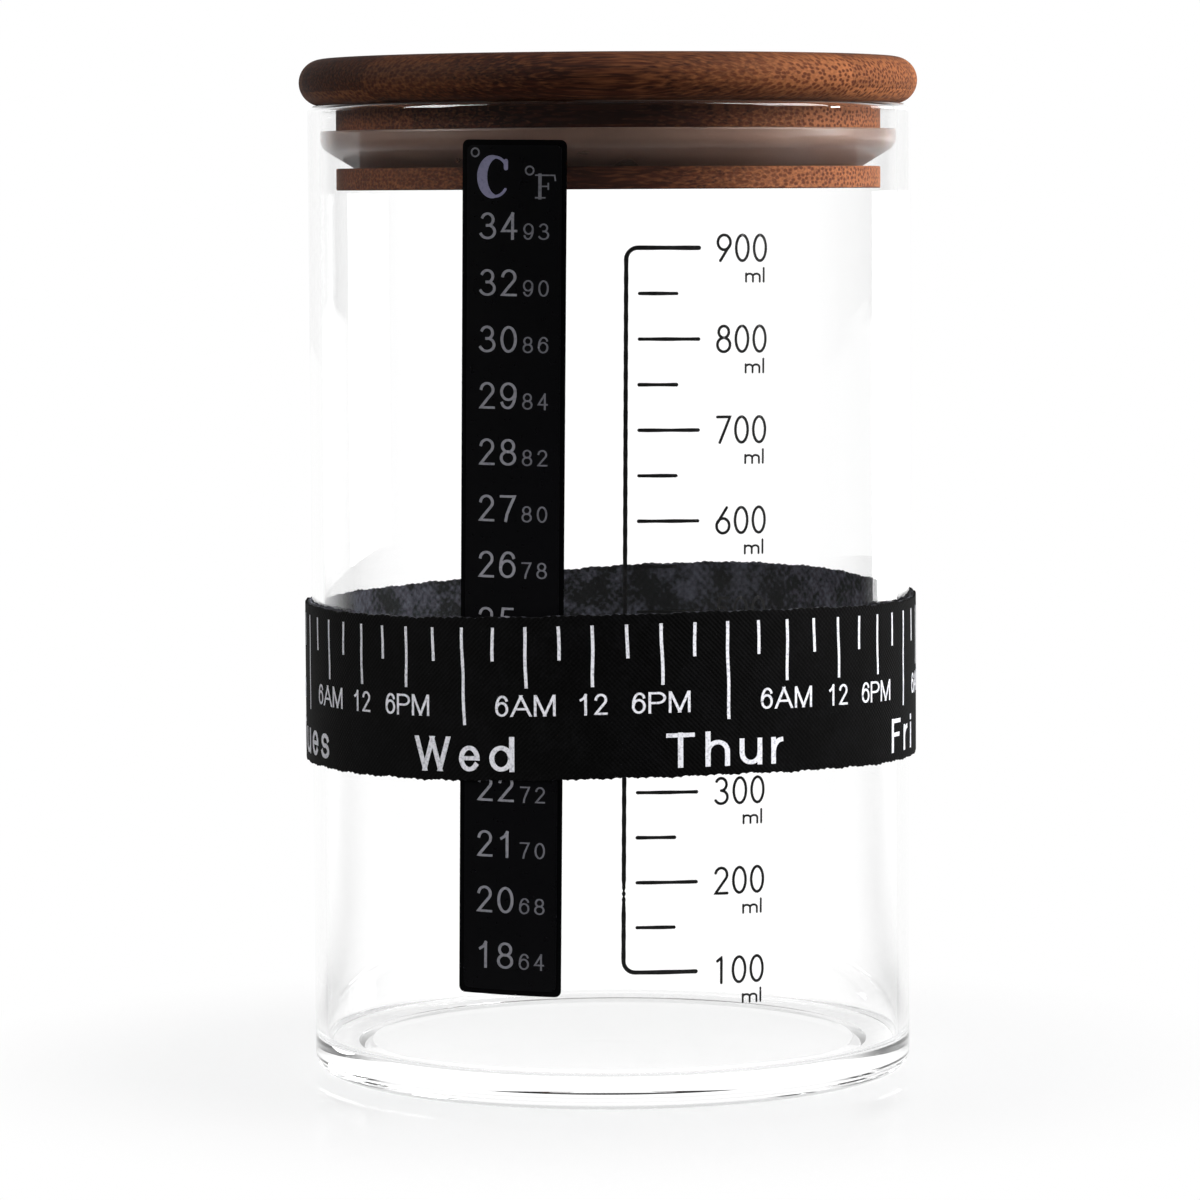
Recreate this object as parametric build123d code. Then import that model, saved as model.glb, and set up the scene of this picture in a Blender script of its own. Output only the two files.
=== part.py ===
from build123d import *

import math
import os

# A sourdough starter jar: a straight glass jar with a bamboo plug lid, a silicone seal,
# a stick-on temperature strip, a printed volume scale and an elastic weekday band.
# Millimetres. +Z is up. The origin is the centre of the circle that the jar stands on.
# The front is -Y. An azimuth is in degrees from the front and grows towards +X.

# Glass jar
jar_diameter = 89.0
jar_height = 143.1
glass_wall = 1.8
floor_thickness = 4.8
outer_corner_radius = 2.5
inner_corner_radius = 1.2
foot_ring_width = 4.0
recess_depth = 0.9
recess_slope_width = 2.0

# Bamboo lid
disc_overhang = 1.25
disc_thickness = 6.9
plug_glass_gap = 2.4
plug_depth = 12.4
flange_height = 3.2
groove_height = 5.5
groove_depth = 3.5
plug_edge_radius = 0.2

# Silicone seal, which sits in the plug's groove and reaches the glass
seal_clearance = 0.05
seal_lip_height = 2.35
seal_lip_radius = 0.3
seal_shoulder_radius = 2.2
seal_foot_width = 0.8

# Temperature strip: three films, laminated and cut out together, stuck on the glass
strip_width = 15.5
strip_top_margin = 5.4
strip_bottom_margin = 16.5
strip_corner_radius = 0.9
strip_backing_thickness = 0.08
strip_panel_thickness = 0.05
strip_cover_thickness = 0.07
strip_azimuth = -18.4
strip_tilt = -0.75

# Volume scale: a bracket with a mark for every 50 ml, in fired-on black enamel
scale_top_margin = 20.6
scale_bottom_margin = 20.0
scale_mark_count = 17
scale_line_width = 0.62
scale_mark_width = 0.5
scale_arm_length = 10.4
scale_mark_offset = 1.9
scale_long_mark = 8.5
scale_short_mark = 5.3
scale_corner_radius = 1.65
scale_azimuth = 2.6
scale_tilt = -0.5
enamel_thickness = 0.03

# Weekday band: a woven elastic backing under a printed face
band_bottom = 47.5
band_width = 23.2
backing_thickness = 0.4
face_thickness = 0.32
band_glass_clearance = 0.05
band_layer_clearance = 0.03
band_edge_radius = 0.1

# Printed marks on the band: a long one at midnight, then one for every three hours.
# The week leaves a bare stretch, where the band's ends meet.
days = 7
marks_per_day = 8
bare_stretch = 13.6
first_midnight_azimuth = -125.7
band_mark_width = 0.55
band_mark_margin = 1.4
band_long_mark = 13.9
band_medium_mark = 8.7
band_short_mark = 4.8
print_thickness = 0.03

# Zigzag stitching that closes the band, in the middle of the bare stretch
stitch_thread = 0.3
stitch_height = 0.16
stitch_half_width = 1.2
stitch_pitch = 1.9
stitch_margin = 0.9

# Sizes that follow from the ones above
jar_radius = jar_diameter / 2
bore_radius = jar_radius - glass_wall
disc_radius = jar_radius + disc_overhang
plug_radius = bore_radius - plug_glass_gap
plug_bottom = jar_height - plug_depth
groove_bottom = plug_bottom + flange_height
groove_top = groove_bottom + groove_height
groove_radius = plug_radius - groove_depth
strip_length = jar_height - strip_top_margin - strip_bottom_margin
strip_thickness = strip_backing_thickness + strip_panel_thickness + strip_cover_thickness
backing_inner = jar_radius + strip_thickness + band_glass_clearance
backing_outer = backing_inner + backing_thickness
face_inner = backing_outer + band_layer_clearance
face_outer = face_inner + face_thickness
band_top = band_bottom + band_width
bare_angle = math.degrees(bare_stretch / face_outer)
mark_step = (360 - bare_angle) / (days * marks_per_day)


def box_from(left, bottom, right, top):
    """A flat rectangle between two corners."""
    width, height = right - left, top - bottom
    return Pos((left + right) / 2, (bottom + top) / 2) * Rectangle(width, height)


def turned(section):
    """A half section, drawn with the radius across and the height up, turned about the jar's axis."""
    return revolve(Plane.XZ * section, Axis.Z)


def rounded(section, corner, radius):
    """The section with its vertex nearest to this corner rounded."""
    vertex = section.vertices().sort_by_distance(corner)[0]
    return fillet(vertex, radius)


def wrapped(flat, inner_radius, thickness, azimuth):
    """A flat shape, drawn as seen from the front, as a thin curved layer on the jar."""
    outer_radius = inner_radius + thickness
    tall = jar_height + disc_thickness
    shell = turned(box_from(inner_radius, 0, outer_radius, tall))
    layer = extrude(Plane.XZ * flat, amount=outer_radius) & shell
    return [Rot(0, 0, azimuth) * solid for solid in layer.solids()]


def make_glass_jar():
    """A straight wall with a rounded rim, a thick floor and a shallow recess under it."""
    rim_radius = glass_wall / 2
    outside = box_from(0, 0, jar_radius, jar_height - rim_radius)
    outside = rounded(outside, (jar_radius, 0), outer_corner_radius)
    inside = box_from(0, floor_thickness, bore_radius, jar_height)
    inside = rounded(inside, (bore_radius, floor_thickness), inner_corner_radius)
    rim = Pos(jar_radius - rim_radius, jar_height - rim_radius) * Circle(rim_radius)
    recess_radius = jar_radius - outer_corner_radius - foot_ring_width
    recess = make_face(Polyline(
        (0, 0),
        (recess_radius, 0),
        (recess_radius - recess_slope_width, recess_depth),
        (0, recess_depth),
        close=True,
    ))
    return [turned(outside - inside + rim - recess)]


def make_lid_disc():
    """The lid's top disc, with a full round edge."""
    edge_radius = disc_thickness / 2
    flat = box_from(0, jar_height, disc_radius - edge_radius, jar_height + disc_thickness)
    nose = Pos(disc_radius - edge_radius, jar_height + edge_radius) * Circle(edge_radius)
    return [turned(flat + nose)]


def make_lid_plug():
    """The part of the lid that goes into the jar, with the groove for the seal."""
    section = box_from(0, plug_bottom, plug_radius, jar_height)
    section -= box_from(groove_radius, groove_bottom, plug_radius, groove_top)
    section = rounded(section, (plug_radius, plug_bottom), plug_edge_radius)
    section = rounded(section, (plug_radius, groove_bottom), plug_edge_radius)
    return [turned(section)]


def make_seal_ring():
    """A flat-topped ring whose underside tapers from the lip at the glass into the groove."""
    inner = groove_radius + seal_clearance
    outer = bore_radius - seal_clearance
    bottom = groove_bottom + seal_clearance
    top = groove_top - seal_clearance
    section = make_face(Polyline(
        (inner, bottom),
        (inner + seal_foot_width, bottom),
        (outer, top - seal_lip_height),
        (outer, top),
        (inner, top),
        close=True,
    ))
    section = rounded(section, (outer, top), seal_lip_radius)
    section = rounded(section, (outer, top - seal_lip_height), seal_shoulder_radius)
    return [turned(section)]


def make_strip_film(base_thickness, thickness):
    """One film of the strip, lying on films of this thickness."""
    flat = RectangleRounded(strip_width, strip_length, strip_corner_radius)
    flat = Pos(0, strip_bottom_margin + strip_length / 2) * Rot(0, 0, strip_tilt) * flat
    return wrapped(flat, jar_radius + base_thickness, thickness, strip_azimuth)


def make_volume_scale():
    """The bracket, whose arms are the first and last marks, and the marks between them."""
    height = jar_height - scale_top_margin - scale_bottom_margin
    pitch = height / (scale_mark_count - 1)
    half_line = scale_line_width / 2
    middle = scale_bottom_margin + height / 2
    bracket = box_from(
        -half_line,
        -height / 2 - half_line,
        scale_arm_length,
        height / 2 + half_line,
    )
    for side in (-1, 1):
        corner = (-half_line, side * (height / 2 + half_line))
        bracket = rounded(bracket, corner, scale_corner_radius + half_line)
    hollow = box_from(half_line, half_line - height / 2, scale_arm_length, height / 2 - half_line)
    for side in (-1, 1):
        corner = (half_line, side * (height / 2 - half_line))
        hollow = rounded(hollow, corner, scale_corner_radius - half_line)
    shapes = [bracket - hollow]
    for number in range(1, scale_mark_count - 1):
        length = scale_short_mark if number % 2 else scale_long_mark
        across = scale_mark_offset + length / 2
        up = number * pitch - height / 2
        shapes.append(Pos(across, up) * Rectangle(length, scale_mark_width))
    place = Pos(0, middle) * Rot(0, 0, scale_tilt)
    solids = []
    for shape in shapes:
        solids += wrapped(place * shape, jar_radius, enamel_thickness, scale_azimuth)
    return solids


def make_band_layer(inner, outer):
    """One layer of the band, with slightly rounded edges."""
    section = box_from(inner, band_bottom, outer, band_top)
    for radius, height in ((inner, band_bottom), (outer, band_bottom), (inner, band_top), (outer, band_top)):
        section = rounded(section, (radius, height), band_edge_radius)
    return [turned(section)]


def make_band_marks():
    """The printed marks round the band: midnight is long, every sixth hour medium, the rest short."""
    lengths = {"long": band_long_mark, "medium": band_medium_mark, "short": band_short_mark}
    top = band_top - band_mark_margin
    marks = {}
    for kind, length in lengths.items():
        flat = box_from(-band_mark_width / 2, top - length, band_mark_width / 2, top)
        marks[kind] = wrapped(flat, face_outer, print_thickness, first_midnight_azimuth)
    solids = []
    for number in range(days * marks_per_day):
        hour_mark = number % marks_per_day
        kind = "long" if hour_mark == 0 else "short" if hour_mark % 2 else "medium"
        solids += [Rot(0, 0, number * mark_step) * solid for solid in marks[kind]]
    return solids


def make_band_stitching():
    """The zigzag thread over the butted ends of the band."""
    bottom, top = band_bottom + stitch_margin, band_top - stitch_margin
    count = 2 * round((top - bottom) / stitch_pitch)
    points = [
        (stitch_half_width * (-1) ** number, bottom + (top - bottom) * number / count)
        for number in range(count + 1)
    ]
    zigzag = trace(Polyline(*points), stitch_thread)
    azimuth = first_midnight_azimuth - bare_angle / 2
    return wrapped(zigzag, face_outer, stitch_height, azimuth)


def save(name, solids):
    """Writes one node as a STEP file."""
    shape = solids[0] if len(solids) == 1 else Compound(children=solids)
    shape.label = name
    export_step(shape, os.path.join("parts", name + ".step"))


os.makedirs("parts", exist_ok=True)
panel_base = strip_backing_thickness
cover_base = panel_base + strip_panel_thickness
save("glass_jar", make_glass_jar())
save("volume_scale_marks", make_volume_scale())
save("strip_backing", make_strip_film(0, strip_backing_thickness))
save("strip_panel", make_strip_film(panel_base, strip_panel_thickness))
save("strip_cover", make_strip_film(cover_base, strip_cover_thickness))
save("lid_disc", make_lid_disc())
save("lid_plug", make_lid_plug())
save("seal_ring", make_seal_ring())
save("band_backing", make_band_layer(backing_inner, backing_outer))
save("band_face", make_band_layer(face_inner, face_outer))
save("band_marks", make_band_marks())
save("band_stitching", make_band_stitching())
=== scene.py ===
import math

import bmesh
import bpy
import numpy as np
from mathutils import Matrix, Vector


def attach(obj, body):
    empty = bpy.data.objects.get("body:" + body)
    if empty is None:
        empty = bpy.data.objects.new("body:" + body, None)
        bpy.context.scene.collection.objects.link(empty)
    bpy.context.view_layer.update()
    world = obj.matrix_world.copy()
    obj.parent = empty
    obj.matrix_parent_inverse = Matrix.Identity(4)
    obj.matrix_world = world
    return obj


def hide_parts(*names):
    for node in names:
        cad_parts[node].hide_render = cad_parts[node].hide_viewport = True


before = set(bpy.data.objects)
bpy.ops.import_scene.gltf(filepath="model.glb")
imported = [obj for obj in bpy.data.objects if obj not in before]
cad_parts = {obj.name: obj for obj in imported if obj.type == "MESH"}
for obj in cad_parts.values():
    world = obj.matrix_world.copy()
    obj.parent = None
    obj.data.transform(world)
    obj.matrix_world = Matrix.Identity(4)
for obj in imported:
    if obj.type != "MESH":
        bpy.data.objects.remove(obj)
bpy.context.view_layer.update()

MM = 0.001

# The jar, in metres, +Z up and the front at -Y
JAR_RADIUS = 44.5 * MM
JAR_HEIGHT = 143.1 * MM
WALL = 1.8 * MM
FLOOR = 4.8 * MM
OUTER_CORNER = 2.5 * MM
INNER_CORNER = 1.2 * MM
FOOT_WIDTH = 4.0 * MM
RECESS_DEPTH = 0.9 * MM
RECESS_SLOPE = 2.0 * MM
BORE_RADIUS = JAR_RADIUS - WALL

# The lid and its seal
DISC_RADIUS = 45.75 * MM
DISC_THICKNESS = 6.9 * MM
PLUG_RADIUS = 40.3 * MM
PLUG_BOTTOM = 130.7 * MM
FLANGE_HEIGHT = 3.2 * MM
GROOVE_HEIGHT = 5.5 * MM
GROOVE_RADIUS = 36.8 * MM
PLUG_EDGE = 0.2 * MM
SEAL_CLEARANCE = 0.05 * MM
SEAL_LIP_HEIGHT = 2.35 * MM
SEAL_LIP_EDGE = 0.3 * MM
SEAL_SHOULDER = 2.2 * MM
SEAL_FOOT = 0.8 * MM

# The temperature strip and what is printed in it
STRIP_WIDTH = 15.5 * MM
STRIP_TOP = 137.7 * MM
STRIP_BOTTOM = 16.5 * MM
STRIP_CORNER = 0.9 * MM
STRIP_BACKING = 0.08 * MM
STRIP_PANEL = 0.05 * MM
STRIP_BORDER = 0.75 * MM
STRIP_AZIMUTH = math.radians(-18.4)
STRIP_TILT = math.radians(-0.75)
FIRST_BASELINE = 123.67 * MM
ROW_PITCH = 7.958 * MM
CELSIUS = (34, 32, 30, 29, 28, 27, 26, 25, 24, 23, 22, 21, 20, 18)
CELSIUS_HEIGHT = 3.84 * MM
CELSIUS_STROKE = 0.42 * MM
CELSIUS_GAP = 0.75 * MM
CELSIUS_MIDDLE = -2.1 * MM
FAHRENHEIT = (93, 90, 86, 84, 82, 80, 78, 77, 75, 73, 72, 70, 68, 64)
FAHRENHEIT_HEIGHT = 2.36 * MM
FAHRENHEIT_STROKE = 0.27 * MM
FAHRENHEIT_GAP = 0.72 * MM
FAHRENHEIT_MIDDLE = 3.45 * MM

# The volume scale
SCALE_TOP = 122.5 * MM
SCALE_BOTTOM = 20.0 * MM
SCALE_MARKS = 17
SCALE_PITCH = (SCALE_TOP - SCALE_BOTTOM) / (SCALE_MARKS - 1)
SCALE_LINE = 0.62 * MM
SCALE_MARK = 0.5 * MM
SCALE_ARM = 10.4 * MM
SCALE_GAP = 1.9 * MM
SCALE_LONG = 8.5 * MM
SCALE_SHORT = 5.3 * MM
SCALE_CORNER = 1.65 * MM
SCALE_AZIMUTH = math.radians(2.6)
SCALE_TILT = math.radians(-0.5)
ENAMEL = 0.03 * MM

# The weekday band
BAND_BOTTOM = 47.5 * MM
BAND_TOP = 70.7 * MM
BACKING_INNER = 44.75 * MM
BACKING_OUTER = 45.15 * MM
FACE_INNER = 45.18 * MM
FACE_OUTER = 45.5 * MM
BAND_EDGE = 0.1 * MM
BACKING_THREAD = 0.7 * MM
BACKING_PICKS, BACKING_PICK_HEIGHT = 170, 0.16 * MM
FACE_THREAD = 0.36 * MM
FACE_PICKS, FACE_PICK_HEIGHT = 230, 0.2 * MM
PRINT = 0.03 * MM
BARE_STRETCH = 13.6 * MM
DAYS = ("Mon", "Tues", "Wed", "Thur", "Fri", "Sat", "Sun")
MARKS_PER_DAY = 8
MONDAY = math.radians(-125.7)
MARK_STEP = (2 * math.pi - BARE_STRETCH / FACE_OUTER) / (len(DAYS) * MARKS_PER_DAY)
BAND_MARK = 0.47 * MM  # the solid's is 0.55 mm, but the print looks thinner than its film
BAND_MARK_TOP = BAND_TOP - 1.4 * MM
MARK_LENGTHS = {"long": 13.9 * MM, "medium": 8.7 * MM, "short": 4.8 * MM}
HOURS = {2: "6AM", 4: "12", 6: "6PM"}
HOUR_BASELINE = 56.6 * MM
HOUR_HEIGHT = 3.05 * MM
HOUR_STROKE = 0.38 * MM
HOUR_GAP = 0.38 * MM
DAY_BASELINE = 48.75 * MM
DAY_HEIGHT = 5.0 * MM
DAY_STROKE = 0.76 * MM
DAY_GAP = 1.5 * MM
SEAM_THREAD = 0.3 * MM
SEAM_HEIGHT = 0.16 * MM
SEAM_HALF_WIDTH = 1.2 * MM
SEAM_MARGIN = 0.9 * MM
SEAM_CORNERS = 23

ROUND = 288  # steps round the jar's axis


# Shapes: each is a pair of arrays, the points and the faces


def join_shapes(shapes):
    """Several shapes as one: their points in a row, and their faces counted on from there."""
    starts = np.cumsum([0] + [len(points) for points, faces in shapes])
    points = np.concatenate([points for points, faces in shapes])
    faces = [face + start for (_, some), start in zip(shapes, starts) for face in some]
    return points, faces


def grid(rows, columns, close_rows=False, close_columns=False):
    """Four-cornered faces over points that lie row after row, closed on themselves where asked."""
    row, column = np.meshgrid(
        np.arange(rows if close_rows else rows - 1),
        np.arange(columns if close_columns else columns - 1),
        indexing="ij",
    )
    below, beside = (row + 1) % rows, (column + 1) % columns
    here, under = row * columns, below * columns
    corners = (here + column, here + beside, under + beside, under + column)
    return np.stack(corners, axis=-1).reshape(-1, 4)


def arc(centre, radius, start, end, steps=8):
    """Points of a circle's arc: centre + radius (cos t, sin t), t from start to end in degrees."""
    t = np.radians(np.linspace(start, end, steps + 1))
    return np.column_stack((centre[0] + radius * np.cos(t), centre[1] + radius * np.sin(t)))


def outline(*parts):
    """Single points and arcs, in a row."""
    return np.concatenate([np.atleast_2d(np.array(part, float)) for part in parts])


def held(profile):
    """The closed profile with two more points, a hair from the ends of each long straight run.

    They are the ends plus or minus 0.03 mm along the run, and keep the run's shading flat.
    """
    after = np.roll(profile, -1, axis=0)
    length = np.linalg.norm(after - profile, axis=1)
    hair = (after - profile) / length[:, None] * 0.03 * MM
    long = length > 0.3 * MM
    rows = np.stack((profile, profile + hair, after - hair), axis=1)
    return rows[np.column_stack((np.ones_like(long), long, long))]


def turned(profile, rise=None, steps=ROUND):
    """A closed profile of (radius, height) carried round the axis: (r sin a, -r cos a, z).

    rise, where given, is an array of added heights, one for each profile point and step.
    """
    a = np.linspace(0, 2 * math.pi, steps, endpoint=False)
    radius, height = profile[:, :1], profile[:, 1:] + (0 if rise is None else rise)
    points = np.stack((radius * np.sin(a), -radius * np.cos(a), height + 0 * a), axis=-1)
    return points.reshape(-1, 3), list(grid(len(profile), steps, True, True))


def band_sag(angle):
    """How far the band stands above its level place: three slow waves round the jar, in metres."""
    waves = 0.79 * np.sin(angle) - 0.41 * np.cos(angle) + 0.53 * np.cos(2 * angle)
    waves += 0.39 * np.sin(3 * angle) + 0.08 * np.cos(3 * angle) - 0.4 * np.sin(2 * angle)
    return waves * MM


def wrap(flat, depth, azimuth, radius, rise=None):
    """Flat points (across, up) laid on the cylinder at this azimuth, standing off by depth.

    The angle is azimuth + across / radius, and the place (r sin angle, -r cos angle, up),
    with rise(angle) added to up where it is given.
    """
    angle = azimuth + flat[:, 0] / radius
    up = flat[:, 1] + (0 if rise is None else rise(angle))
    out = radius + depth
    return np.column_stack((out * np.sin(angle), -out * np.cos(angle), up))


def tilted(flat, angle, centre):
    """Flat points turned by an angle about a centre."""
    c, s = math.cos(angle), math.sin(angle)
    return (np.asarray(flat) - centre) @ np.array([[c, s], [-s, c]]) + centre


def line(*corners, step=0.5 * MM):
    """Points along straight runs from corner to corner, at most a step apart."""
    parts = []
    for start, end in zip(corners, corners[1:]):
        start, end = np.array(start, float), np.array(end, float)
        count = int(np.linalg.norm(end - start) / step) + 2
        parts.append((start + np.linspace(0, 1, count)[:, None] * (end - start))[:-1])
    return np.concatenate(parts + [np.array([corners[-1]], float)])


def pen_for(azimuth, radius, thickness, tilt=0.0, centre=(0, 0), rise=None):
    """A pen for one place on the jar, which draws each stroke as a thin closed solid.

    A stroke's edges lie half a width to each side of its path, on the mean normal of the steps
    before and after, and further out at a corner, as a mitre does. Square ends go on by half a
    width, rounded ends narrow as a half circle does, and level ends are cut level.
    """
    centre = np.array(centre)

    def pen(path, width, ends="square", layer=0):
        path = np.asarray(path, float)
        half = np.broadcast_to(np.asarray(width, float) / 2, len(path)).copy()
        unit = np.diff(path, axis=0)
        unit /= np.linalg.norm(unit, axis=1)[:, None]
        closed = np.allclose(path[0], path[-1], atol=1e-6)
        if not closed and ends == "round":
            t = np.radians([12, 40, 68])
            first = path[0] - np.outer(np.cos(t), unit[0]) * half[0]
            last = path[-1] + np.outer(np.cos(t[::-1]), unit[-1]) * half[-1]
            half = np.concatenate((np.sin(t) * half[0], half, np.sin(t[::-1]) * half[-1]))
            path = np.concatenate((first, path, last))
        elif not closed:
            reach = 1 / abs(unit[[0, -1], 1]) if ends == "level" else (1, 1)
            path[0] -= unit[0] * half[0] * reach[0]
            path[-1] += unit[-1] * half[-1] * reach[1]
        unit = np.diff(path, axis=0)
        unit /= np.linalg.norm(unit, axis=1)[:, None]
        before = np.concatenate((unit[-1:] if closed else unit[:1], unit))
        after = np.concatenate((unit, unit[:1] if closed else unit[-1:]))
        mean = before + after
        mean /= np.linalg.norm(mean, axis=1)[:, None]
        reach = half / np.maximum((mean * before).sum(axis=1), 0.6)
        side = np.column_stack((-mean[:, 1], mean[:, 0])) * reach[:, None]
        if ends == "level":
            side = np.column_stack((-half / mean[:, 1], 0 * half))
        count = len(path)
        flat = np.stack((path + side, path - side, path - side, path + side), axis=1).reshape(-1, 2)
        lift = thickness * (1 + 0.05 * layer)
        depth = np.tile([lift, lift, 0, 0], count)
        end = 4 * (count - 1)
        faces = list(grid(count, 4, False, True))
        faces += [np.array([3, 2, 1, 0]), np.array([end, end + 1, end + 2, end + 3])]
        return wrap(tilted(flat, tilt, centre), depth, azimuth, radius, rise), faces

    return pen


def bow(cx, cy, rx, ry, start, end):
    """Points of an ellipse's arc, from start to end in degrees."""
    t = np.radians(np.linspace(start, end, max(5, int(abs(end - start) / 12) + 1)))
    return np.column_stack((cx + rx * np.cos(t), cy + ry * np.sin(t)))


# The plain upright letters of the band and the strip: how wide each is, and its strokes' middle
# lines in a box one wide and one high. Strokes marked "level" have level ends.
SIX = (outline(bow(0.55, 0.74, 0.42, 0.26, 15, 90), bow(0.52, 0.4, 0.52, 0.6, 96, 180)),
       bow(0.5, 0.33, 0.5, 0.33, 180, 540))
LETTERS = {
    "0": (0.64, bow(0.5, 0.5, 0.5, 0.5, 90, 450)),
    "1": (0.64, outline((0.18, 0.75), (0.42, 0.84), (0.6, 1)), outline((0.6, 1), (0.6, 0))),
    "2": (0.64, outline(bow(0.49, 0.735, 0.45, 0.265, 170, -35), (0.5, 0.34), (0.1, 0.06), (0, 0),
                        (1, 0))),
    "3": (0.64, bow(0.46, 0.755, 0.42, 0.245, 155, -95), bow(0.46, 0.265, 0.54, 0.265, 95, -155)),
    "4": (0.64, outline((0.74, 1), (0, 0.3), (1, 0.3)), outline((0.74, 1), (0.74, 0))),
    "5": (0.64, outline((0.9, 1), (0.2, 1), (0.1, 0.52), bow(0.48, 0.33, 0.52, 0.33, 135, -150))),
    "6": (0.64, *SIX),
    "7": (0.64, outline((0, 1), (1, 1), (0.66, 0.56), (0.45, 0.25), (0.37, 0))),
    "8": (0.64, bow(0.5, 0.755, 0.42, 0.245, -90, 270), bow(0.5, 0.265, 0.5, 0.265, 90, 450)),
    "9": (0.64, *(1 - path for path in SIX)),
    "A": (1.0, "level", outline((0, 0), (0.5, 1)), outline((0.5, 1), (1, 0)),
          "square", outline((0.25, 0.33), (0.75, 0.33))),
    "F": (0.72, outline((0, 0), (0, 1), (1, 1)), outline((0, 0.53), (0.85, 0.53))),
    "M": (1.03, "level", outline((0.04, 1), (0.5, 0)), outline((0.5, 0), (0.96, 1)),
          "square", outline((0, 0), (0, 1)), outline((1, 0), (1, 1))),
    "P": (0.83, outline((0, 0), (0, 1), (0.55, 1), bow(0.55, 0.74, 0.45, 0.26, 80, -80),
                        (0.55, 0.48), (0, 0.48))),
    "S": (0.82, outline(bow(0.5, 0.745, 0.44, 0.255, 15, 262), bow(0.5, 0.25, 0.5, 0.25, 82, -165))),
    "T": (0.86, outline((0, 1), (1, 1)), outline((0.5, 1), (0.5, 0))),
    "W": (1.22, "level", outline((0, 1), (0.25, 0)), outline((0.25, 0), (0.5, 1)),
          outline((0.5, 1), (0.75, 0)), outline((0.75, 0), (1, 1))),
    "a": (0.68, outline((0.92, 0), bow(0.48, 0.5, 0.44, 0.22, 0, 150)),
          outline((0.92, 0.42), bow(0.42, 0.205, 0.42, 0.205, 90, 270), (0.72, 0.04), (0.92, 0.17))),
    "d": (0.76, bow(0.47, 0.36, 0.47, 0.36, 0, 360), outline((1, 0), (1, 1))),
    "e": (0.66, outline((0, 0.37), (1, 0.37), bow(0.5, 0.36, 0.5, 0.36, 12, 322))),
    "h": (0.74, outline((0, 0), (0, 1)), outline((0, 0.36), bow(0.5, 0.4, 0.5, 0.32, 160, 0), (1, 0))),
    "i": (0.21, outline((0.5, 0), (0.5, 0.72)), outline((0.5, 0.98), (0.5, 1))),
    "n": (0.72, outline((0, 0), (0, 0.72)), outline((0, 0.36), bow(0.5, 0.4, 0.5, 0.32, 160, 0), (1, 0))),
    "o": (0.76, bow(0.5, 0.36, 0.5, 0.36, 90, 450)),
    "r": (0.44, outline((0, 0), (0, 0.72)), bow(0.95, 0.3, 0.95, 0.42, 165, 92)),
    "s": (0.66, outline(bow(0.5, 0.54, 0.44, 0.18, 15, 262), bow(0.5, 0.19, 0.5, 0.19, 82, -165))),
    "t": (0.44, outline((0.5, 0.92), (0.5, 0.2), bow(0.85, 0.2, 0.35, 0.2, 190, 265)),
          outline((0, 0.72), (1, 0.72))),
    "u": (0.72, outline((0, 0.72), bow(0.5, 0.32, 0.5, 0.32, 180, 340), (1, 0.36)),
          outline((1, 0), (1, 0.72))),
}

# The thin figures and letters of the volume scale: their strokes' middle lines in a box one high.
# Ovals and bowls are arcs of ellipses, and the tails of 6 and 9 are straight.
THIN_LETTERS = {
    "0": [bow(0.28, 0.5, 0.25, 0.47, 90, 450)],
    "1": [outline((0.14, 0.84), (0.3, 0.97), (0.3, 0.03))],
    "2": [outline(bow(0.28, 0.72, 0.23, 0.25, 165, -30), (0.05, 0.03), (0.52, 0.03))],
    "3": [bow(0.26, 0.74, 0.21, 0.23, 150, -90), bow(0.26, 0.27, 0.25, 0.24, 90, -150)],
    "4": [outline((0.4, 0.03), (0.4, 0.97), (0.03, 0.28), (0.56, 0.28))],
    "5": [outline((0.5, 0.97), (0.17, 0.97), (0.1, 0.56), bow(0.25, 0.33, 0.27, 0.3, 128, -140))],
    "6": [bow(0.28, 0.3, 0.25, 0.27, 140, 500), outline((0.43, 0.97), (0.07, 0.42))],
    "7": [outline((0.04, 0.97), (0.54, 0.97), (0.14, 0.03))],
    "8": [bow(0.28, 0.755, 0.2, 0.215, -90, 270), bow(0.28, 0.285, 0.25, 0.255, 90, 450)],
    "9": [bow(0.28, 0.7, 0.25, 0.27, -40, 320), outline((0.13, 0.03), (0.49, 0.58))],
    "m": [outline((0.0, 0.6), (0.0, 0.0)), outline(bow(0.19, 0.38, 0.19, 0.2, 170, 0), (0.38, 0.0)),
          outline(bow(0.57, 0.38, 0.19, 0.2, 170, 0), (0.76, 0.0))],
    "l": [outline((0.98, 1.0), (0.98, 0.0))],
}


def write(pen, text, height, weight, gap, across, up):
    """A word in the plain letters, centred across, with its baseline at up.

    height is a capital's, weight the width of an upright stroke, and gap the space between
    letters. A level stroke is a fifth thinner.
    """
    widths = [LETTERS[letter][0] * height for letter in text]
    left = across - (sum(widths) + gap * (len(text) - 1)) / 2
    shapes = []
    for letter, width in zip(text, widths):
        ends = "square"
        for part in LETTERS[letter][1:]:
            if isinstance(part, str):
                ends = part
                continue
            path = part * (width - weight, height - weight) + (left + weight / 2, up + weight / 2)
            if np.allclose(part[:, 0], 0.5):
                path[:, 0] = left + width / 2
            path = line(*path, step=0.6 * MM)
            slope = np.gradient(path, axis=0)
            upright = 1 if ends == "level" else np.abs(slope[:, 1]) / np.linalg.norm(slope, axis=1)
            shapes.append(pen(path, weight * (0.8 + 0.2 * upright), ends, len(shapes)))
        left += width + gap
    return shapes


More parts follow.
